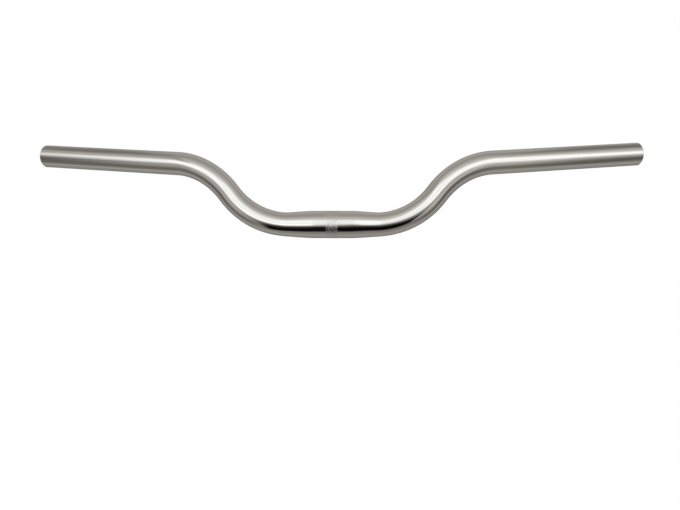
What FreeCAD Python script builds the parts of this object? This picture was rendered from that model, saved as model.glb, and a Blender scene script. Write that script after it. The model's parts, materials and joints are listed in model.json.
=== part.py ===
import FreeCAD, Part
import math
import os

# Riser handlebar of a folding bicycle, bent from one aluminium tube.
# Millimetres and degrees. The origin is the middle of the clamp seat, +X runs along the seat,
# +Y points back to the rider and +Z points up.

# Tube: the middle is swaged up to the stem clamp's size, the rest keeps the size of the grips
CLAMP_DIAMETER = 25.4
GRIP_DIAMETER = 22.2
WALL = 2.3

# Middle: a parallel seat for the stem clamp, with a smooth taper at each end.
# The tube is bent after it is swaged, so the last part of each taper lies in the lower bend.
CLAMP_LENGTH = 32.0
TAPER_LENGTH = 32.5
TAPER_IN_BEND = 9.0

# Bends, measured on the centreline: up into the riser, then over and back into the grip
RISER_BEND_RADIUS = 70.0
RISER_ANGLE = 52.0
RISER_STRAIGHT = 4.0
GRIP_BEND_RADIUS = 70.0
UPSWEEP = 5.0
BACKSWEEP = 15.0

# Width between the centres of the two ends
WIDTH = 586.0

# Deburred edges of the cut ends
RIM_CHAMFER = 0.6
BORE_CHAMFER = 0.4

# How far the bore's cutting shape runs out of each end
BORE_RUN_OUT = 5.0

# Spans between the round sections that shape a taper
TAPER_SPANS = 12

ORIGIN = FreeCAD.Vector(0, 0, 0)
CLAMP_AXIS = FreeCAD.Vector(1, 0, 0)


def heading(up, back):
    """Unit direction out to the left, turned up and back by two angles."""
    level = math.cos(math.radians(up))
    outward = level * math.cos(math.radians(back))
    rearward = level * math.sin(math.radians(back))
    return FreeCAD.Vector(-outward, rearward, math.sin(math.radians(up)))


def station(distance):
    """Point and direction of the centreline left of the middle, up to the foot of the riser."""
    straight = CLAMP_LENGTH / 2 + TAPER_LENGTH - TAPER_IN_BEND
    turned = max(distance - straight, 0) / RISER_BEND_RADIUS
    outward = min(distance, straight) + RISER_BEND_RADIUS * math.sin(turned)
    rise = RISER_BEND_RADIUS * (1 - math.cos(turned))
    return FreeCAD.Vector(-outward, 0, rise), heading(math.degrees(turned), 0)


def taper(seat_radius, tube_radius):
    """Round bar that narrows smoothly from the seat to the tube and begins to bend up."""
    sections = []
    for span in range(TAPER_SPANS + 1):
        share = span / TAPER_SPANS
        eased = share * share * (3 - 2 * share)
        radius = seat_radius + (tube_radius - seat_radius) * eased
        point, direction = station(CLAMP_LENGTH / 2 + TAPER_LENGTH * share)
        sections.append(Part.Wire(Part.makeCircle(radius, point, direction)))
    return Part.makeLoft(sections, True)


def bend(start, direction, new_direction, bend_radius, tube_radius):
    """Round bar bent from one direction to another, and the point where the bend ends."""
    axis = direction.cross(new_direction).normalize()
    centre = start + axis.cross(direction) * bend_radius
    angle = math.degrees(direction.getAngle(new_direction))
    section = Part.Face(Part.Wire(Part.makeCircle(tube_radius, start, direction)))
    end = centre + FreeCAD.Rotation(axis, angle).multVec(start - centre)
    return section.revolve(centre, axis, angle), end


def left_half(seat_radius, tube_radius, run_out):
    """The bar left of its clamp seat as round bars: taper, bend, riser, bend and grip."""
    riser = heading(RISER_ANGLE, 0)
    grip = heading(UPSWEEP, BACKSWEEP)
    neck, neck_direction = station(CLAMP_LENGTH / 2 + TAPER_LENGTH)
    lower_bend, riser_foot = bend(neck, neck_direction, riser, RISER_BEND_RADIUS, tube_radius)
    riser_top = riser_foot + riser * RISER_STRAIGHT
    upper_bend, grip_start = bend(riser_top, riser, grip, GRIP_BEND_RADIUS, tube_radius)
    grip_length = (-WIDTH / 2 - grip_start.x) / grip.x
    return [
        taper(seat_radius, tube_radius),
        lower_bend,
        Part.makeCylinder(tube_radius, RISER_STRAIGHT, riser_foot, riser),
        upper_bend,
        Part.makeCylinder(tube_radius, grip_length + run_out, grip_start, grip),
    ]


def whole_bar(seat_radius, tube_radius, run_out):
    """The bar from end to end as one solid rod, its right half a mirror image of its left."""
    seat = Part.makeCylinder(seat_radius, CLAMP_LENGTH, CLAMP_AXIS * (-CLAMP_LENGTH / 2), CLAMP_AXIS)
    left = left_half(seat_radius, tube_radius, run_out)
    right = [piece.mirror(ORIGIN, CLAMP_AXIS) for piece in left]
    return seat.fuse(left + right)


def end_edges(tube, outer):
    """Outer or bore edges of the two cut ends, which are the tube's only flat faces."""
    edges = []
    for face in tube.Faces:
        if not isinstance(face.Surface, Part.Plane):
            continue
        for wire in face.Wires:
            if wire.isSame(face.OuterWire) == outer:
                edges += wire.Edges
    return edges


def handlebar():
    """The bent tube, hollow from end to end, with deburred rims."""
    seat_radius = CLAMP_DIAMETER / 2
    grip_radius = GRIP_DIAMETER / 2
    rod = whole_bar(seat_radius, grip_radius, 0)
    bore = whole_bar(seat_radius - WALL, grip_radius - WALL, BORE_RUN_OUT)
    tube = rod.cut(bore)
    tube = tube.makeChamfer(RIM_CHAMFER, end_edges(tube, outer=True))
    tube = tube.makeChamfer(BORE_CHAMFER, end_edges(tube, outer=False))
    return tube.Solids[0]


os.makedirs("parts", exist_ok=True)
handlebar().exportStep("parts/handlebar.step")
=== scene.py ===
import json
import math

import bmesh
import bpy
from bpy.props import FloatProperty, FloatVectorProperty, IntProperty, PointerProperty
from mathutils import Matrix, Quaternion, Vector


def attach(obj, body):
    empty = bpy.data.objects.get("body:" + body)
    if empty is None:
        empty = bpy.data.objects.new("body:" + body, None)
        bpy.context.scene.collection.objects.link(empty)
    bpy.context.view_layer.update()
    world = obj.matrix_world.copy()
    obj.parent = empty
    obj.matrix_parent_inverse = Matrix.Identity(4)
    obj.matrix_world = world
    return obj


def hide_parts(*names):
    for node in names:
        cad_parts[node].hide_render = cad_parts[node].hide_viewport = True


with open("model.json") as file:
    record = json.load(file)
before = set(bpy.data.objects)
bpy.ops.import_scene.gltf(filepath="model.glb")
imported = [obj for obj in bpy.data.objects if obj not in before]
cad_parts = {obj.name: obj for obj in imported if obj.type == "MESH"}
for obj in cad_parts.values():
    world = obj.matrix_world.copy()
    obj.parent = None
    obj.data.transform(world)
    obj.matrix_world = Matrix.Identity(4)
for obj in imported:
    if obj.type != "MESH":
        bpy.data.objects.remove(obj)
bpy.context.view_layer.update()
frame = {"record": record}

bl_info = {
    "name": "Riser handlebar",
    "version": (1, 0, 0),
    "blender": (4, 5, 0),
    "location": "3D View > Sidebar > Handlebar",
    "description": "Dresses the bent tube of a folding bicycle's handlebar and sets it in a studio",
    "category": "Object",
}

# What the imported model already holds: its mounts and its finish
MOUNTS = {mount["name"]: mount for mount in frame["record"]["mounts"]}
SEAT = MOUNTS["stem_clamp"]["dims"]
GRIP = MOUNTS["right_grip"]
GRIP_AXIS = Vector(GRIP["axis"])
BORE = MOUNTS["right_end_bore"]["dims"]
FINISH = frame["record"]["materials"][0]

MILLIMETRE = 0.001
WHITE = (1.0, 1.0, 1.0, 1.0)

# Deburred edge outside each end. The grip's mount stops where it begins, short of the tube's end
RIM_CHAMFER = 0.6 * MILLIMETRE
GRIP_OUTER_END = Vector(GRIP["pos_m"]) + GRIP_AXIS * (GRIP["dims"]["length_mm"] * MILLIMETRE / 2)
HALF_SPAN = GRIP_OUTER_END.x + GRIP_AXIS.x * RIM_CHAMFER

# Layers of the tube's skin: a map in metres along the tube and turns round it, and the knurl's cut
TUBE_MAP = "tube_map"
GROOVE = "groove"

# Zones of the tube's skin, in the order of its material slots
POLISHED, KNURLED, CUT_END, INSIDE = range(4)

# Points round the tube, and points to each tooth of the knurl, at its tip and in its groove.
# A ring of the knurl has a whole number of points for each one of the tube's, so teeth come in steps
TUBE_POINTS = 96
TOOTH_POINTS = 2
TEETH_STEP = TUBE_POINTS // TOOTH_POINTS

# Spacing of the rings along the bends, the straights and the bore
BEND_PACE = 1.8 * MILLIMETRE
STRAIGHT_PACE = 4 * MILLIMETRE
BORE_PACE = 4 * MILLIMETRE

# Share of the knurl's pitch by which a ring may miss the strip's edge and still be its border
BORDER_SLACK = 0.01

# Relief of the polish's hairlines, the knurl's grain, the tool's rings and the drawing lines
HAIRLINE_RELIEF = 0.002 * MILLIMETRE
GRAIN_RELIEF = 0.004 * MILLIMETRE
TOOL_RELIEF = 0.01 * MILLIMETRE
DRAWING_RELIEF = 0.01 * MILLIMETRE

# Roughness that hairlines and haze add to the polish, and that grain adds to the knurl
HAIRLINE_BLUR = 0.03
HAZE_BLUR = 0.02
GRAIN_BLUR = 0.06

# Least and greatest roughness of the turned ends and of the bore
CUT_ROUGHNESS = (0.24, 0.36)
BORE_ROUGHNESS = (0.32, 0.5)

# Groove depths, as shares, at which the knurl's burnish begins to fade and is gone
BURNISH_FADES = 0.72
BURNISH_GONE = 0.95

# Share of the painted shade in the knurl's grooves that stays where the haze is thinnest
LEAST_GROOVE_SHADE = 0.6

# Values of a noise that are taken to 0 and to 1
NOISE_LOW = 0.3
NOISE_HIGH = 0.7

# Sockets of the colour mix node
MIX_FACTOR = 0
MIX_A = 6
MIX_B = 7
MIX_RESULT = 2

# Half the width of the studio's floor, and the radius and fineness of its tent
FLOOR_REACH = 20.0
TENT_RADIUS = 12.0
TENT_FINENESS = 4

# Width of the camera's sensor in millimetres, and the nearest and farthest that it sees in metres
SENSOR_WIDTH = 36.0
NEAREST_SEEN = 0.01
FARTHEST_SEEN = 100.0

# What the polished metal sees round the studio: an angle in degrees about the bar's length and the
# share of the white strip's brightness there. 0 is level in front, 90 straight above, 180 level behind
STUDIO_ROUND = (
    # Low behind: the lower end of the rear strip, then a dim wall
    (-180, 1.0),
    (-174, 1.0),
    (-168, 0.2),
    (-158, 0.17),
    (-142, 0.23),
    (-120, 0.27),
    # Below: a grey table
    (-107, 0.305),
    (-95, 0.262),
    (-85, 0.222),
    (-75, 0.215),
    # Low in front: a wall that brightens towards the white strip
    (-68, 0.165),
    (-60, 0.158),
    (-50, 0.222),
    (-36, 0.335),
    (-28, 0.375),
    (-10, 0.4),
    # In front: the white strip
    (3, 0.9),
    (9, 1.0),
    (29, 1.0),
    (36, 0.7),
    # Above: a grey roof
    (42, 0.54),
    (50, 0.475),
    (68, 0.325),
    (88, 0.272),
    (96, 0.32),
    (110, 0.355),
    (125, 0.335),
    (154, 0.29),
    # High behind: the rear strip
    (163, 0.9),
    (168, 1.0),
    (180, 1.0),
)

# Darker and lighter patches of the studio. In degrees: the lowest and highest angle about the bar, the
# leftmost and rightmost angle sideways and the width of the soft edge. Then the slope of the level
# edges, and the share of light there
STUDIO_PATCHES = (
    # A black card low in front, and its softer upper part
    (-63, -30, -24, 25, 7, 0.35, 0.02),
    (-45, -12.3, -25, 19, 22, 0.2, 0.06),
    # Light that spills over the card, left and right
    (-24, -3, -23, -5, 8, 0.0, 2.35),
    (-47, -33, -16, -6, 8, 0.0, 3.6),
    (-26, 4, 6, 16, 5, 0.0, 1.3),
    # The dimmer middle of the white strip
    (-14, 34, -6, 3, 4, 0.0, 0.89),
    (-16, 1, -3, 6, 5, 0.0, 0.77),
    # The white strip's upper edge, left and right
    (27, 64, -40, -30, 8, 0.0, 0.65),
    (31, 49, 32, 42, 8, 0.0, 1.25),
    # A dark opening at the far left
    (-58, 26, -95, -54, 22, 0.0, 0.2),
    # The white strip's lower edge, left, right and further right
    (-13, 5, -39, -26, 10, 0.0, 0.69),
    (-14, 1, 24, 36, 8, 0.0, 0.7),
    (-14, 4, 38, 47, 8, 0.0, 1.25),
    # The front wall, right and far right
    (-50, -8, 28, 46, 8, 0.0, 1.17),
    (-74, -28, 46, 95, 12, 0.0, 0.52),
    # The table, left and right
    (-91, -66, -95, -37, 14, 0.0, 0.64),
    (-91, -66, 34, 49, 12, 0.0, 0.62),
    # The roof behind, left
    (122, 165, -95, -26, 14, 0.0, 0.78),
    # Gaps in the rear strip, left and right
    (160, 200, -48, -24, 8, 0.0, 0.3),
    (142, 200, 27, 48, 8, 0.0, 0.3),
)


class TubeSizes(bpy.types.PropertyGroup):
    """Sizes of the bent tube"""

    clamp_diameter: FloatProperty(
        name="Clamp diameter",
        description="Outside diameter of the seat for the stem clamp",
        default=2 * SEAT["r_mm"] * MILLIMETRE,
        unit="LENGTH",
    )
    grip_diameter: FloatProperty(
        name="Grip diameter",
        description="Outside diameter of the tube away from the clamp seat",
        default=2 * GRIP["dims"]["r_mm"] * MILLIMETRE,
        unit="LENGTH",
    )
    bore_diameter: FloatProperty(
        name="Bore diameter",
        description="Inside diameter of the tube at its ends",
        default=2 * BORE["r_mm"] * MILLIMETRE,
        unit="LENGTH",
    )
    seat_length: FloatProperty(
        name="Seat length",
        description="Length of the parallel seat for the stem clamp",
        default=SEAT["length_mm"] * MILLIMETRE,
        unit="LENGTH",
    )
    taper_length: FloatProperty(
        name="Taper length",
        description="Length over which the seat narrows to the grip's diameter, on each side",
        default=32.5 * MILLIMETRE,
        unit="LENGTH",
    )
    taper_in_bend: FloatProperty(
        name="Taper in bend",
        description="Last part of the taper, which lies in the bend up into the riser",
        default=9 * MILLIMETRE,
        unit="LENGTH",
    )
    riser_bend_radius: FloatProperty(
        name="Riser bend radius",
        description="Radius of the bend up into the riser, on the centreline",
        default=70 * MILLIMETRE,
        unit="LENGTH",
    )
    riser_angle: FloatProperty(
        name="Riser angle",
        description="Slope of the riser",
        default=math.radians(52),
        subtype="ANGLE",
    )
    riser_straight: FloatProperty(
        name="Riser straight",
        description="Straight length between the two bends of a side",
        default=4 * MILLIMETRE,
        unit="LENGTH",
    )
    grip_bend_radius: FloatProperty(
        name="Grip bend radius",
        description="Radius of the bend over and back into the grip, on the centreline",
        default=70 * MILLIMETRE,
        unit="LENGTH",
    )
    upsweep: FloatProperty(
        name="Up sweep",
        description="Angle of the grip above the level",
        default=math.asin(GRIP_AXIS.z),
        subtype="ANGLE",
    )
    backsweep: FloatProperty(
        name="Back sweep",
        description="Angle of the grip back to the rider",
        default=math.atan2(GRIP_AXIS.y, GRIP_AXIS.x),
        subtype="ANGLE",
    )
    end_span: FloatProperty(
        name="Width",
        description="Distance between the centres of the two ends",
        default=2 * HALF_SPAN,
        unit="LENGTH",
    )
    rim_chamfer: FloatProperty(
        name="Rim chamfer",
        description="Deburred edge outside each end",
        default=RIM_CHAMFER,
        unit="LENGTH",
    )
    bore_chamfer: FloatProperty(
        name="Bore chamfer",
        description="Deburred edge inside each end",
        default=0.4 * MILLIMETRE,
        unit="LENGTH",
    )
    knurl_teeth: IntProperty(
        name="Knurl teeth",
        description=f"Number of the knurl's diamonds round the seat, a multiple of {TEETH_STEP}",
        default=3 * TEETH_STEP,
        min=TEETH_STEP,
    )
    knurl_rows: IntProperty(
        name="Knurl rows",
        description="Number of the knurl's diamonds across its strip, in the middle of the clamp seat",
        default=20,
        min=1,
    )
    knurl_depth: FloatProperty(
        name="Knurl depth",
        description="Depth of the knurl's grooves below the seat",
        default=0.0165 * MILLIMETRE,
        unit="LENGTH",
    )


class TubeFinish(bpy.types.PropertyGroup):
    """Colours and polish of the tube's skin"""

    silver: FloatVectorProperty(
        name="Silver",
        description="Colour of the polished tube",
        default=FINISH["base_color"],
        subtype="COLOR",
        size=3,
    )
    silver_shade: FloatVectorProperty(
        name="Silver shade",
        description="Colour of the faint drawing lines left in the polish",
        default=(0.66, 0.645, 0.62),
        subtype="COLOR",
        size=3,
    )
    knurl_silver: FloatVectorProperty(
        name="Knurl silver",
        description="Colour of the knurl's crests",
        default=(0.78, 0.77, 0.755),
        subtype="COLOR",
        size=3,
    )
    # Painted shade in the knurl's grooves, mixed in by their depth
    knurl_shade: FloatVectorProperty(
        name="Knurl shade",
        description="Colour at the bottom of the knurl's grooves",
        default=(0.6, 0.59, 0.57),
        subtype="COLOR",
        size=3,
    )
    cut_silver: FloatVectorProperty(
        name="Cut silver",
        description="Colour of the turned faces at the ends",
        default=(0.72, 0.71, 0.7),
        subtype="COLOR",
        size=3,
    )
    cut_shade: FloatVectorProperty(
        name="Cut shade",
        description="Colour of the tool marks on the turned ends",
        default=(0.52, 0.51, 0.5),
        subtype="COLOR",
        size=3,
    )
    bore_silver: FloatVectorProperty(
        name="Bore silver",
        description="Colour of the raw metal inside the tube",
        default=(0.7, 0.69, 0.675),
        subtype="COLOR",
        size=3,
    )
    bore_shade: FloatVectorProperty(
        name="Bore shade",
        description="Colour of the drawing lines inside the tube",
        default=(0.54, 0.53, 0.515),
        subtype="COLOR",
        size=3,
    )
    polish_roughness: FloatProperty(
        name="Polish roughness",
        description="Roughness of the polished tube where it is smoothest",
        default=0.05,
        min=0.0,
        max=1.0,
        subtype="FACTOR",
    )
    knurl_roughness: FloatProperty(
        name="Knurl roughness",
        description="Roughness of the knurl's burnished tips",
        default=0.12,
        min=0.0,
        max=1.0,
        subtype="FACTOR",
    )
    groove_roughness: FloatProperty(
        name="Groove roughness",
        description="Roughness in the knurl's grooves",
        default=0.55,
        min=0.0,
        max=1.0,
        subtype="FACTOR",
    )


class StudioSettings(bpy.types.PropertyGroup):
    """Camera, floor and light of the studio"""

    camera_place: FloatVectorProperty(
        name="Camera place",
        description="Where the camera stands",
        default=(0.03732, -0.60602, -0.028),
        subtype="TRANSLATION",
        size=3,
    )
    camera_turn: FloatProperty(
        name="Camera turn",
        description="How far the camera is turned to its left",
        default=math.radians(2.85),
        subtype="ANGLE",
    )
    camera_roll: FloatProperty(
        name="Camera roll",
        description="How far the camera is rolled",
        default=math.radians(-0.21),
        subtype="ANGLE",
    )
    lens: FloatProperty(
        name="Lens",
        description="Focal length on a sensor 36 mm wide",
        default=34.86,
        unit="CAMERA",
    )
    floor_drop: FloatProperty(
        name="Floor drop",
        description="How far the floor lies below the clamp seat",
        default=0.36,
        unit="LENGTH",
    )
    floor_colour: FloatVectorProperty(
        name="Floor colour",
        description="Colour of the pale floor",
        default=(0.9, 0.9, 0.9),
        subtype="COLOR",
        size=3,
    )
    floor_glow: FloatProperty(
        name="Floor glow",
        description="Share of plain white in the floor where the camera sees it",
        default=0.5,
        min=0.0,
        max=1.0,
        subtype="FACTOR",
    )
    lamp_strength: FloatProperty(
        name="Lamp strength",
        description="Strength of the lamp",
        default=1.9,
        min=0.0,
    )
    lamp_spread: FloatProperty(
        name="Lamp spread",
        description="Angle that the lamp fills, which softens its shadow",
        default=math.radians(25),
        subtype="ANGLE",
    )
    lamp_turn: FloatVectorProperty(
        name="Lamp turn",
        description="How far the lamp is turned away from shining straight down",
        default=(math.radians(20), math.radians(-15), 0.0),
        subtype="EULER",
        size=3,
    )
    world_level: FloatProperty(
        name="World level",
        description="Strength of the even light from all round",
        default=0.6,
        min=0.0,
    )
    flag_place: FloatVectorProperty(
        name="Flag place",
        description="Middle of the grey flag over the right end, which the left flag mirrors",
        default=(0.485, 0.1, 0.45),
        subtype="TRANSLATION",
        size=3,
    )
    flag_size: FloatVectorProperty(
        name="Flag size",
        description="Width and depth of a flag, soft edges included",
        default=(0.36, 0.63),
        subtype="XYZ_LENGTH",
        size=2,
    )
    flag_edge: FloatVectorProperty(
        name="Flag edge",
        description="Width of a flag's soft edges, sideways and in depth",
        default=(0.13, 0.3),
        subtype="XYZ_LENGTH",
        size=2,
    )
    flag_shade: FloatProperty(
        name="Flag shade",
        description="Share of the light that passes the middle of a flag",
        default=0.5,
        min=0.0,
        max=1.0,
        subtype="FACTOR",
    )
    strip_level: FloatProperty(
        name="Strip level",
        description="Brightness of the studio's white strip",
        default=1.37,
        min=0.0,
    )
    wall_warmth: FloatVectorProperty(
        name="Wall warmth",
        description="Tint of the studio's grey walls",
        default=(1.0, 0.945, 0.87),
        subtype="COLOR",
        size=3,
    )


class TubeWalk:
    """Walks along the right half of the centreline and notes the cross-section at each stop."""

    def __init__(self):
        self.spot = Vector((0, 0, 0))
        self.facing = Vector((1, 0, 0))
        self.up = Vector((0, 0, 1))
        self.distance = 0.0
        self.stops = []
        self.stop()

    def stop(self):
        """Notes how far the walk has come, where it is, and two axes across the tube."""
        back = self.up.cross(self.facing)
        self.stops.append((self.distance, self.spot, self.up, back))

    def straight(self, length, pace):
        """Goes straight on, with stops about one pace apart."""
        count = max(1, round(length / pace))
        for _ in range(count):
            self.spot = self.spot + self.facing * (length / count)
            self.distance += length / count
            self.stop()

    def bend(self, new_facing, radius, pace):
        """Goes round a bend of one radius until it faces the new way."""
        axis = self.facing.cross(new_facing).normalized()
        angle = self.facing.angle(new_facing)
        count = math.ceil(radius * angle / pace)
        centre = self.spot + axis.cross(self.facing) * radius
        turn = Quaternion(axis, angle / count)
        for _ in range(count):
            self.spot = centre + turn @ (self.spot - centre)
            self.facing = turn @ self.facing
            self.up = turn @ self.up
            self.distance += radius * angle / count
            self.stop()
        self.facing = new_facing


def knurl_pitch(sizes):
    """Size of one of the knurl's diamonds, round the seat and along it."""
    return math.pi * sizes.clamp_diameter / sizes.knurl_teeth


def knurl_width(sizes):
    """Width of the knurled strip."""
    return sizes.knurl_rows * knurl_pitch(sizes)


def heading(up, back):
    """Direction out to the right, turned up and back by two angles."""
    return Vector((math.cos(up) * math.cos(back), math.cos(up) * math.sin(back), math.sin(up)))


def walk_half(sizes, short_of_end, middle_pace, bend_pace, straight_pace):
    """Stops from the middle of the seat to a point a little short of the right end."""
    walk = TubeWalk()
    half_knurl = knurl_width(sizes) / 2
    riser = heading(sizes.riser_angle, 0)
    grip = heading(sizes.upsweep, sizes.backsweep)
    walk.straight(half_knurl, middle_pace)
    walk.straight(sizes.seat_length / 2 - half_knurl, bend_pace)
    walk.straight(sizes.taper_length - sizes.taper_in_bend, bend_pace)
    walk.bend(riser, sizes.riser_bend_radius, bend_pace)
    walk.straight(sizes.riser_straight, bend_pace)
    walk.bend(grip, sizes.grip_bend_radius, bend_pace)
    grip_length = (sizes.end_span / 2 - walk.spot.x) / grip.x
    walk.straight(grip_length - short_of_end, straight_pace)
    return walk.stops


def mirrored(stop):
    """The same stop on the left half of the bar."""
    distance, spot, up, back = stop
    flip = Vector((-1, 1, 1))
    return -distance, spot * flip, up * flip, back * flip


def end_to_end(stops):
    """Stops from the left end to the right end."""
    left = [mirrored(stop) for stop in reversed(stops[1:])]
    return left + stops


def smooth_step(share):
    """Eases a share from 0 to 1, level at both ends."""
    share = min(max(share, 0.0), 1.0)
    return share * share * (3 - 2 * share)


def outer_radius(sizes, distance):
    """Radius of the tube's outside, which swells at the clamp seat."""
    seat = sizes.clamp_diameter / 2
    tube = sizes.grip_diameter / 2
    past_seat = (abs(distance) - sizes.seat_length / 2) / sizes.taper_length
    return seat + (tube - seat) * smooth_step(past_seat)


def crest(turns):
    """Height of one set of V grooves, from 0 at the bottom to 1 at the top."""
    return 1 - abs(2 * (turns % 1.0) - 1)


def knurl_groove(sizes, distance, around):
    """How deep the diamond knurl is cut at a point, from 0 at a tip to 1 in a groove."""
    pitch = knurl_pitch(sizes)
    along = distance / pitch
    across = around * sizes.knurl_teeth
    height = min(crest(across + along), crest(across - along))
    inside_strip = (knurl_width(sizes) / 2 - abs(distance)) / pitch
    return (1 - height) * min(max(2 * inside_strip, 0.0), 1.0)


def take_mesh(form, name):
    """Turns a finished form into a mesh and lets the form go."""
    mesh = bpy.data.meshes.new(name)
    form.to_mesh(mesh)
    form.free()
    return mesh


class TubeSkin:
    """Grows the tube's closed skin ring by ring."""

    def __init__(self):
        self.mesh = bmesh.new()
        self.map = self.mesh.loops.layers.uv.new(TUBE_MAP)
        self.groove = self.mesh.verts.layers.float.new(GROOVE)
        self.rings = []
        self.crisp = []

    def ring(self, stop, mapped, radius, zone, crisp=False):
        """Adds a plain ring at one stop."""
        self.grooved_ring(stop, mapped, radius, [0.0] * TUBE_POINTS, 0.0, zone, crisp)

    def grooved_ring(self, stop, mapped, radius, grooves, depth, zone, crisp=False):
        """Adds a ring with one point for each groove share and joins it to the ring before."""
        _, spot, up, back = stop
        points = []
        for index, groove in enumerate(grooves):
            angle = 2 * math.pi * index / len(grooves)
            out = up * math.cos(angle) + back * math.sin(angle)
            point = self.mesh.verts.new(spot + out * (radius - groove * depth))
            point[self.groove] = groove
            points.append(point)
        ring = (points, mapped)
        if self.rings:
            self.join(self.rings[-1], ring, zone)
        self.rings.append(ring)
        if crisp:
            self.crisp.append(points)

    def join(self, first, second, zone):
        """Fills the band between two rings."""
        first_count = len(first[0])
        second_count = len(second[0])
        if first_count < second_count:
            self.widen(first, second, second_count // first_count, zone)
        elif first_count > second_count:
            self.narrow(first, second, first_count // second_count, zone)
        else:
            for n in range(first_count):
                corners = [(first, n), (second, n), (second, n + 1), (first, n + 1)]
                if zone == KNURLED:
                    self.facets(corners)
                else:
                    self.face(corners, zone)

    def widen(self, first, second, ratio, zone):
        """Fills the band to a ring with more points."""
        middle = ratio // 2
        for n in range(len(first[0])):
            for step in range(ratio):
                tip = n if step < middle else n + 1
                fine = n * ratio + step
                self.face([(first, tip), (second, fine), (second, fine + 1)], zone)
            self.face([(first, n), (second, n * ratio + middle), (first, n + 1)], zone)

    def narrow(self, first, second, ratio, zone):
        """Fills the band to a ring with fewer points."""
        middle = ratio // 2
        for n in range(len(second[0])):
            for step in range(ratio):
                tip = n if step < middle else n + 1
                fine = n * ratio + step
                self.face([(first, fine), (second, tip), (first, fine + 1)], zone)
            self.face([(first, n * ratio + middle), (second, n), (second, n + 1)], zone)

    def facets(self, corners):
        """Adds flat sides of two of the knurl's pyramids, parted along the groove between them."""
        a, b, c, d = corners
        depths = [ring[0][n % len(ring[0])][self.groove] for ring, n in corners]
        if depths[0] + depths[2] > depths[1] + depths[3]:
            halves = ((a, b, c), (a, c, d))
        else:
            halves = ((a, b, d), (b, c, d))
        for half in halves:
            self.face(half, KNURLED).smooth = False

    def face(self, corners, zone):
        """Adds one face. Each corner is a ring and a count of points round it."""
        points = [ring[0][n % len(ring[0])] for ring, n in corners]
        face = self.mesh.faces.new(points)
        face.smooth = True
        face.material_index = zone
        for loop, (ring, n) in zip(face.loops, corners):
            loop[self.map].uv = (ring[1], n / len(ring[0]))
        return face

    def finish(self, name, zone):
        """Joins the last ring to the first and returns the skin as a mesh."""
        self.join(self.rings[-1], self.rings[0], zone)
        for points in self.crisp:
            for n, point in enumerate(points):
                self.mesh.edges.get((points[n - 1], point)).smooth = False
        return take_mesh(self.mesh, name)


def add_outside(skin, sizes):
    """The tube's outside, from the left end to the right end."""
    if sizes.knurl_teeth % TEETH_STEP:
        raise ValueError(f"The number of knurl teeth has to be a multiple of {TEETH_STEP}")
    pitch = knurl_pitch(sizes)
    half_knurl = knurl_width(sizes) / 2
    half = walk_half(sizes, sizes.rim_chamfer, pitch / TOOTH_POINTS, BEND_PACE, STRAIGHT_PACE)
    stops = end_to_end(half)
    end = half[-1][0]
    slack = BORDER_SLACK * pitch
    knurl_points = TOOTH_POINTS * sizes.knurl_teeth
    for stop in stops:
        distance = stop[0]
        radius = outer_radius(sizes, distance)
        into_strip = half_knurl - abs(distance)
        if into_strip < -slack:
            skin.ring(stop, distance, radius, POLISHED, crisp=abs(distance) == end)
            continue
        border = into_strip < slack
        grooves = [knurl_groove(sizes, distance, n / knurl_points) for n in range(knurl_points)]
        zone = POLISHED if border and distance < 0 else KNURLED
        skin.grooved_ring(stop, distance, radius, grooves, sizes.knurl_depth, zone, crisp=border)


def add_inside(skin, sizes):
    """The right end, the bore back to the left end, and the left end."""
    wall = (sizes.grip_diameter - sizes.bore_diameter) / 2
    tube_radius = sizes.grip_diameter / 2
    bore_radius = sizes.bore_diameter / 2
    rim_radius = tube_radius - sizes.rim_chamfer
    mouth_radius = bore_radius + sizes.bore_chamfer
    right_tip = walk_half(sizes, 0.0, BORE_PACE, BORE_PACE, BORE_PACE)[-1]
    left_tip = mirrored(right_tip)
    end = right_tip[0]
    skin.ring(right_tip, end + sizes.rim_chamfer, rim_radius, CUT_END, crisp=True)
    skin.ring(right_tip, end + wall, mouth_radius, CUT_END, crisp=True)
    half = walk_half(sizes, sizes.bore_chamfer, BORE_PACE, BORE_PACE, BORE_PACE)
    mouth = half[-1][0]
    for stop in reversed(end_to_end(half)):
        distance = stop[0]
        zone = CUT_END if distance == mouth else INSIDE
        radius = outer_radius(sizes, distance) - wall
        skin.ring(stop, distance, radius, zone, crisp=abs(distance) == mouth)
    skin.ring(left_tip, -end - wall, mouth_radius, CUT_END, crisp=True)
    skin.ring(left_tip, -end - sizes.rim_chamfer, rim_radius, CUT_END, crisp=True)


def add_node(tree, kind, **settings):
    """Adds a node and sets its plain settings."""
    node = tree.nodes.new(kind)
    for name, value in settings.items():
        setattr(node, name, value)
    return node


def feed(tree, socket, value):
    """Links a socket to another one, or sets it to a plain value."""
    if isinstance(value, bpy.types.NodeSocket):
        tree.links.new(value, socket)
    else:
        socket.default_value = value


def calculate(tree, operation, *values):
    """A math node's result."""
    node = add_node(tree, "ShaderNodeMath", operation=operation)
    for socket, value in zip(node.inputs, values):
        feed(tree, socket, value)
    return node.outputs[0]


def remap(tree, value, from_low, from_high, to_low, to_high, kind="LINEAR"):
    """A value taken from one range to another and held within it."""
    node = add_node(tree, "ShaderNodeMapRange", interpolation_type=kind)
    for socket, given in zip(node.inputs, (value, from_low, from_high, to_low, to_high)):
        feed(tree, socket, given)
    return node.outputs["Result"]


def between(tree, share, first, last):
    """A value between two limits, as far from the first as a share says."""
    return remap(tree, share, 0.0, 1.0, first, last)


def mix_colours(tree, share, first, second):
    """Two colours mixed by a share that changes over the surface."""
    node = add_node(tree, "ShaderNodeMix", data_type="RGBA")
    feed(tree, node.inputs[MIX_FACTOR], share)
    feed(tree, node.inputs[MIX_A], first)
    feed(tree, node.inputs[MIX_B], second)
    return node.outputs[MIX_RESULT]


def opaque(colour):
    """A colour property with full alpha."""
    return (*colour, 1.0)


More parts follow.
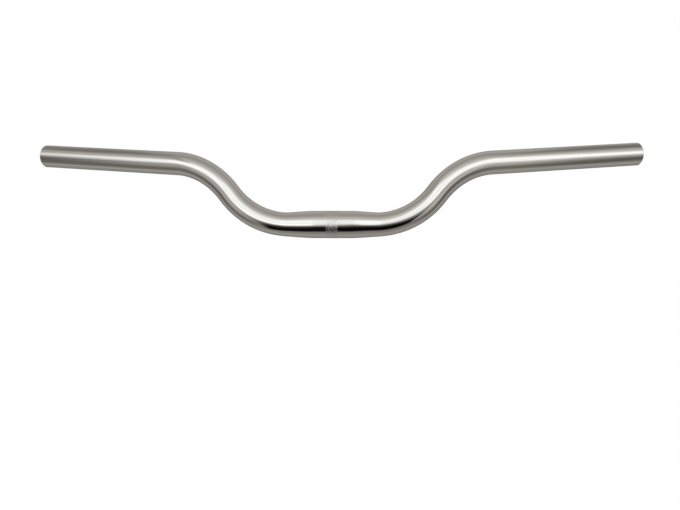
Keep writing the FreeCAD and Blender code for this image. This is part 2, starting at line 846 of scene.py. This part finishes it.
def group_tree(name, inputs, output):
    """A new node group with number inputs and one number output, and its end nodes."""
    tree = bpy.data.node_groups.new(name, "ShaderNodeTree")
    for label, default in inputs:
        socket = tree.interface.new_socket(label, in_out="INPUT", socket_type="NodeSocketFloat")
        socket.default_value = default
    tree.interface.new_socket(output, in_out="OUTPUT", socket_type="NodeSocketFloat")
    return tree, add_node(tree, "NodeGroupInput"), add_node(tree, "NodeGroupOutput")


def full_range(tree, noise):
    """A noise's values spread out to run from 0 to 1."""
    return remap(tree, noise.outputs["Fac"], NOISE_LOW, NOISE_HIGH, 0.0, 1.0)


def tube_lines_group():
    """Fine lines on the tube: long ones when Across is the larger, rings when Along is."""
    inputs = (("Across", 40.0), ("Along", 20.0), ("Detail", 3.0))
    tree, given, result = group_tree("Tube lines", inputs, "Lines")
    place = add_node(tree, "ShaderNodeUVMap", uv_map=TUBE_MAP)
    parts = add_node(tree, "ShaderNodeSeparateXYZ")
    tree.links.new(place.outputs["UV"], parts.inputs[0])
    angle = calculate(tree, "MULTIPLY", parts.outputs["Y"], 2 * math.pi)
    joined = add_node(tree, "ShaderNodeCombineXYZ")
    for socket, wave in zip(joined.inputs, ("COSINE", "SINE")):
        turned = calculate(tree, wave, angle)
        tree.links.new(calculate(tree, "MULTIPLY", turned, given.outputs["Across"]), socket)
    along = calculate(tree, "MULTIPLY", parts.outputs["X"], given.outputs["Along"])
    tree.links.new(along, joined.inputs["Z"])
    noise = add_node(tree, "ShaderNodeTexNoise")
    noise.inputs["Scale"].default_value = 1.0
    tree.links.new(joined.outputs[0], noise.inputs["Vector"])
    tree.links.new(given.outputs["Detail"], noise.inputs["Detail"])
    tree.links.new(full_range(tree, noise), result.inputs["Lines"])
    return tree


def haze_group():
    """Soft uneven patches, as handling and buffing leave on bare metal."""
    tree, given, result = group_tree("Buffing haze", (("Scale", 30.0),), "Haze")
    place = add_node(tree, "ShaderNodeTexCoord")
    noise = add_node(tree, "ShaderNodeTexNoise")
    noise.inputs["Detail"].default_value = 4.0
    tree.links.new(place.outputs["Object"], noise.inputs["Vector"])
    tree.links.new(given.outputs["Scale"], noise.inputs["Scale"])
    tree.links.new(full_range(tree, noise), result.inputs["Haze"])
    return tree


def place_group(tree, group, **values):
    """Places a node group with its own values and returns its one output."""
    node = add_node(tree, "ShaderNodeGroup", node_tree=group)
    for name, value in values.items():
        feed(tree, node.inputs[name], value)
    return node.outputs[0]


def metal(name):
    """A new material with a bare metal shader, and its node tree and shader."""
    material = bpy.data.materials.new(name)
    material.use_nodes = True
    tree = material.node_tree
    shader = tree.nodes["Principled BSDF"]
    shader.inputs["Metallic"].default_value = 1.0
    return material, tree, shader


def add_bump(tree, shader, height, distance):
    """Small relief of a height that runs from 0 to 1."""
    bump = add_node(tree, "ShaderNodeBump")
    bump.inputs["Distance"].default_value = distance
    tree.links.new(height, bump.inputs["Height"])
    tree.links.new(bump.outputs["Normal"], shader.inputs["Normal"])


def polished_metal(finish, lines_group, haze):
    """Buffed tube with faint lines along its length."""
    material, tree, shader = metal("polished_aluminium")
    hairlines = place_group(tree, lines_group, Across=42.0, Along=30.0, Detail=2.0)
    streaks = place_group(tree, lines_group, Across=7.0, Along=9.0, Detail=4.0)
    patches = place_group(tree, haze, Scale=35.0)
    colour = mix_colours(tree, streaks, opaque(finish.silver_shade), opaque(finish.silver))
    tree.links.new(colour, shader.inputs["Base Color"])
    smooth = finish.polish_roughness
    blurred = between(tree, hairlines, smooth, smooth + HAIRLINE_BLUR)
    roughness = calculate(tree, "MULTIPLY_ADD", patches, HAZE_BLUR, blurred)
    tree.links.new(roughness, shader.inputs["Roughness"])
    add_bump(tree, shader, hairlines, HAIRLINE_RELIEF)
    return material


def knurled_metal(finish, lines_group, haze):
    """Rolled diamond knurl with burnished tips, duller in its grooves, which painted shade darkens."""
    material, tree, shader = metal("knurled_aluminium")
    groove = add_node(tree, "ShaderNodeAttribute", attribute_name=GROOVE).outputs["Fac"]
    grain = place_group(tree, lines_group, Across=60.0, Along=4000.0, Detail=3.0)
    patches = place_group(tree, haze, Scale=300.0)
    # Painted shade, deeper in the grooves and patchy with the haze
    groove_shade = calculate(tree, "MULTIPLY", groove, between(tree, patches, LEAST_GROOVE_SHADE, 1.0))
    colour = mix_colours(tree, groove_shade, opaque(finish.knurl_silver), opaque(finish.knurl_shade))
    tree.links.new(colour, shader.inputs["Base Color"])
    tip_and_groove = (finish.knurl_roughness, finish.groove_roughness)
    blurred = remap(tree, groove, BURNISH_FADES, BURNISH_GONE, *tip_and_groove)
    roughness = calculate(tree, "MULTIPLY_ADD", grain, GRAIN_BLUR, blurred)
    tree.links.new(roughness, shader.inputs["Roughness"])
    add_bump(tree, shader, grain, GRAIN_RELIEF)
    return material


def cut_metal(finish, lines_group, haze):
    """Turned end with the tool's rings."""
    material, tree, shader = metal("turned_aluminium")
    rings = place_group(tree, lines_group, Across=0.7, Along=7000.0, Detail=3.0)
    patches = place_group(tree, haze, Scale=250.0)
    colour = mix_colours(tree, rings, opaque(finish.cut_shade), opaque(finish.cut_silver))
    tree.links.new(colour, shader.inputs["Base Color"])
    tree.links.new(between(tree, patches, *CUT_ROUGHNESS), shader.inputs["Roughness"])
    add_bump(tree, shader, rings, TOOL_RELIEF)
    return material


def bore_metal(finish, lines_group, haze):
    """Raw drawn metal inside the tube."""
    material, tree, shader = metal("drawn_aluminium")
    lines = place_group(tree, lines_group, Across=16.0, Along=12.0, Detail=4.0)
    patches = place_group(tree, haze, Scale=120.0)
    colour = mix_colours(tree, lines, opaque(finish.bore_shade), opaque(finish.bore_silver))
    tree.links.new(colour, shader.inputs["Base Color"])
    tree.links.new(between(tree, patches, *BORE_ROUGHNESS), shader.inputs["Roughness"])
    add_bump(tree, shader, lines, DRAWING_RELIEF)
    return material


class HANDLEBAR_OT_tube(bpy.types.Operator):
    """Builds the bent tube with its knurled strip, turned ends and open bore"""

    bl_idname = "handlebar.tube"
    bl_label = "Build bent tube"

    def execute(self, context):
        sizes = context.scene.handlebar_sizes
        finish = context.scene.handlebar_finish
        skin = TubeSkin()
        add_outside(skin, sizes)
        add_inside(skin, sizes)
        tube = bpy.data.objects.new("bent_tube", skin.finish("bent_tube", CUT_END))
        context.scene.collection.objects.link(tube)
        lines_group = tube_lines_group()
        haze = haze_group()
        for zone_metal in (polished_metal, knurled_metal, cut_metal, bore_metal):
            tube.data.materials.append(zone_metal(finish, lines_group, haze))
        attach(tube, "root")
        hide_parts("handlebar")
        return {"FINISHED"}


def bare_material(name):
    """A new material with no shader yet, and its node tree and surface socket."""
    material = bpy.data.materials.new(name)
    material.use_nodes = True
    tree = material.node_tree
    tree.nodes.clear()
    result = add_node(tree, "ShaderNodeOutputMaterial")
    return material, tree, result.inputs["Surface"]


def blend_shaders(tree, share, first, second):
    """Two shaders blended, with a share of the second."""
    blend = add_node(tree, "ShaderNodeMixShader")
    for socket, given in zip(blend.inputs, (share, first.outputs[0], second.outputs[0])):
        tree.links.new(given, socket)
    return blend.outputs[0]


def soft_band(tree, value, low, high, soft):
    """1 where a value lies between two limits and 0 outside, with soft edges."""
    half = soft / 2
    above = remap(tree, value, low - half, low + half, 0.0, 1.0, "SMOOTHSTEP")
    below = remap(tree, value, high - half, high + half, 1.0, 0.0, "SMOOTHSTEP")
    return calculate(tree, "MULTIPLY", above, below)


def tent_material(studio):
    """Soft light of a photographer's tent: white strips, grey walls and the patches on them."""
    material, tree, surface = bare_material("studio_tent")
    glow = add_node(tree, "ShaderNodeEmission")
    tree.links.new(glow.outputs[0], surface)
    place = add_node(tree, "ShaderNodeTexCoord")
    direction = add_node(tree, "ShaderNodeVectorMath", operation="NORMALIZE")
    tree.links.new(place.outputs["Object"], direction.inputs[0])
    parts = add_node(tree, "ShaderNodeSeparateXYZ")
    tree.links.new(direction.outputs[0], parts.inputs[0])
    towards_front = calculate(tree, "MULTIPLY", parts.outputs["Y"], -1.0)
    angle = calculate(tree, "ARCTAN2", parts.outputs["Z"], towards_front)
    sideways = calculate(tree, "ARCSINE", parts.outputs["X"])
    walls = add_node(tree, "ShaderNodeValToRGB")
    tree.links.new(remap(tree, angle, -math.pi, math.pi, 0.0, 1.0), walls.inputs["Fac"])
    elements = walls.color_ramp.elements
    # A new ramp has two stops already
    for _ in STUDIO_ROUND[2:]:
        elements.new(1.0)
    for spot, (degrees, share) in zip(elements, STUDIO_ROUND):
        # The brighter the wall, the less it is tinted
        tint = [share * (part + (1 - part) * share) for part in studio.wall_warmth]
        spot.position = (degrees + 180) / 360
        spot.color = opaque(tint)
    tree.links.new(walls.outputs["Color"], glow.inputs["Color"])
    level = studio.strip_level
    for *limits, slope, kept in STUDIO_PATCHES:
        low, high, left, right, soft = (math.radians(limit) for limit in limits)
        sloped = calculate(tree, "MULTIPLY_ADD", sideways, -slope, angle)
        across = soft_band(tree, sloped, low, high, soft)
        patch = calculate(tree, "MULTIPLY", across, soft_band(tree, sideways, left, right, soft))
        level = calculate(tree, "MULTIPLY", between(tree, patch, 1.0, kept), level)
    feed(tree, glow.inputs["Strength"], level)
    material.cycles.emission_sampling = "NONE"
    return material


def flag_material(studio):
    """Grey gauze with soft edges, which dims what the metal reflects through it."""
    material, tree, surface = bare_material("studio_flag")
    gauze = add_node(tree, "ShaderNodeBsdfTransparent")
    tree.links.new(gauze.outputs[0], surface)
    place = add_node(tree, "ShaderNodeTexCoord")
    parts = add_node(tree, "ShaderNodeSeparateXYZ")
    tree.links.new(place.outputs["Object"], parts.inputs[0])
    inside = 1.0
    for part, size, edge in zip(parts.outputs, studio.flag_size, studio.flag_edge):
        reach = (size - edge) / 2
        inside = calculate(tree, "MULTIPLY", soft_band(tree, part, -reach, reach, edge), inside)
    shade = opaque([studio.flag_shade] * 3)
    tree.links.new(mix_colours(tree, inside, WHITE, shade), gauze.inputs["Color"])
    return material


def floor_material(studio):
    """Pale floor that the camera sees as white and that still takes a shadow."""
    material, tree, surface = bare_material("studio_floor")
    glow = add_node(tree, "ShaderNodeEmission")
    glow.inputs["Color"].default_value = WHITE
    pale = add_node(tree, "ShaderNodeBsdfDiffuse")
    pale.inputs["Color"].default_value = opaque(studio.floor_colour)
    path = add_node(tree, "ShaderNodeLightPath")
    seen = calculate(tree, "MULTIPLY", path.outputs["Is Camera Ray"], studio.floor_glow)
    tree.links.new(blend_shaders(tree, seen, pale, glow), surface)
    return material


def white_world(studio):
    """World that is white where it is seen and gives an even soft light elsewhere."""
    world = bpy.data.worlds.new("studio_world")
    world.use_nodes = True
    tree = world.node_tree
    tree.nodes.clear()
    result = add_node(tree, "ShaderNodeOutputWorld")
    soft = add_node(tree, "ShaderNodeBackground")
    soft.inputs["Strength"].default_value = studio.world_level
    white = add_node(tree, "ShaderNodeBackground")
    for background in (soft, white):
        background.inputs["Color"].default_value = WHITE
    path = add_node(tree, "ShaderNodeLightPath")
    seen = path.outputs["Is Camera Ray"]
    for ray in ("Is Glossy Ray", "Is Transmission Ray"):
        seen = calculate(tree, "MAXIMUM", seen, path.outputs[ray])
    tree.links.new(blend_shaders(tree, seen, soft, white), result.inputs["Surface"])
    return world


def stage_mesh(form, name, material):
    """Turns a finished form into a mesh of one material."""
    mesh = take_mesh(form, name)
    mesh.materials.append(material)
    return mesh


class HANDLEBAR_OT_stage(bpy.types.Operator):
    """Sets the floor, the tent of soft light, the two flags, the lamp, the camera and the world"""

    bl_idname = "handlebar.stage"
    bl_label = "Set stage"

    def execute(self, context):
        scene = context.scene
        studio = scene.handlebar_studio
        self.add_floor(scene, studio)
        self.add_tent(scene, studio)
        self.add_flags(scene, studio)
        self.add_lamp(scene, studio)
        self.add_camera(scene, studio)
        scene.world = white_world(studio)
        scene.view_settings.view_transform = "Standard"
        return {"FINISHED"}

    def add_floor(self, scene, studio):
        """Adds the floor, which takes the shadow and isn't seen in the metal."""
        form = bmesh.new()
        bmesh.ops.create_grid(form, x_segments=1, y_segments=1, size=FLOOR_REACH)
        mesh = stage_mesh(form, "studio_floor", floor_material(studio))
        floor = bpy.data.objects.new("studio_floor", mesh)
        floor.location.z = -studio.floor_drop
        floor.visible_glossy = False
        scene.collection.objects.link(floor)

    def add_tent(self, scene, studio):
        """Adds the tent, whose strips and walls the metal reflects."""
        form = bmesh.new()
        bmesh.ops.create_icosphere(form, subdivisions=TENT_FINENESS, radius=TENT_RADIUS)
        mesh = stage_mesh(form, "studio_tent", tent_material(studio))
        self.add_reflected(scene, bpy.data.objects.new("studio_tent", mesh))

    def add_flags(self, scene, studio):
        """Adds the two flags, one over each end of the bar."""
        form = bmesh.new()
        # One metre square, stretched to the flag's width and depth
        outline = Matrix.Diagonal((*studio.flag_size, 1, 1))
        bmesh.ops.create_grid(form, x_segments=1, y_segments=1, size=0.5, matrix=outline)
        mesh = stage_mesh(form, "studio_flag", flag_material(studio))
        for name, side in (("left", -1), ("right", 1)):
            flag = bpy.data.objects.new(f"studio_flag_{name}", mesh)
            flag.location = studio.flag_place
            flag.location.x *= side
            self.add_reflected(scene, flag)

    def add_reflected(self, scene, backdrop):
        """Adds a backdrop that is seen in the metal alone."""
        backdrop.visible_camera = False
        backdrop.visible_diffuse = False
        backdrop.visible_shadow = False
        scene.collection.objects.link(backdrop)

    def add_lamp(self, scene, studio):
        """Adds the soft lamp overhead, which isn't seen in the metal."""
        light = bpy.data.lights.new("studio_lamp", "SUN")
        light.energy = studio.lamp_strength
        light.angle = studio.lamp_spread
        lamp = bpy.data.objects.new("studio_lamp", light)
        lamp.rotation_euler = studio.lamp_turn
        lamp.visible_glossy = False
        scene.collection.objects.link(lamp)

    def add_camera(self, scene, studio):
        """Adds the camera in front of the bar and makes it the scene's camera."""
        data = bpy.data.cameras.new("studio_camera")
        data.sensor_width = SENSOR_WIDTH
        data.lens = studio.lens
        data.clip_start = NEAREST_SEEN
        data.clip_end = FARTHEST_SEEN
        camera = bpy.data.objects.new("studio_camera", data)
        level = Matrix.Rotation(math.radians(90), 4, "X")
        turn = Matrix.Rotation(studio.camera_turn, 4, "Z")
        roll = Matrix.Rotation(studio.camera_roll, 4, "Y")
        camera.matrix_world = Matrix.Translation(studio.camera_place) @ roll @ turn @ level
        scene.collection.objects.link(camera)
        scene.camera = camera


class HANDLEBAR_PT_panel(bpy.types.Panel):
    """Lists the handlebar's sizes, finish and studio"""

    bl_idname = "HANDLEBAR_PT_panel"
    bl_label = "Riser handlebar"
    bl_space_type = "VIEW_3D"
    bl_region_type = "UI"
    bl_category = "Handlebar"

    def draw(self, context):
        scene = context.scene
        layout = self.layout
        for name, group in SETTINGS:
            box = layout.box()
            for setting in group.__annotations__:
                box.prop(getattr(scene, name), setting)
        for operator in (HANDLEBAR_OT_tube, HANDLEBAR_OT_stage):
            layout.operator(operator.bl_idname)


SETTINGS = (
    ("handlebar_sizes", TubeSizes),
    ("handlebar_finish", TubeFinish),
    ("handlebar_studio", StudioSettings),
)
CLASSES = (
    TubeSizes,
    TubeFinish,
    StudioSettings,
    HANDLEBAR_OT_tube,
    HANDLEBAR_OT_stage,
    HANDLEBAR_PT_panel,
)


def register():
    for item in CLASSES:
        bpy.utils.register_class(item)
    for name, group in SETTINGS:
        setattr(bpy.types.Scene, name, PointerProperty(type=group))


def unregister():
    for name, _ in SETTINGS:
        delattr(bpy.types.Scene, name)
    for item in reversed(CLASSES):
        bpy.utils.unregister_class(item)


def main():
    register()
    bpy.ops.handlebar.tube()
    bpy.ops.handlebar.stage()


if __name__ == "__main__":
    main()
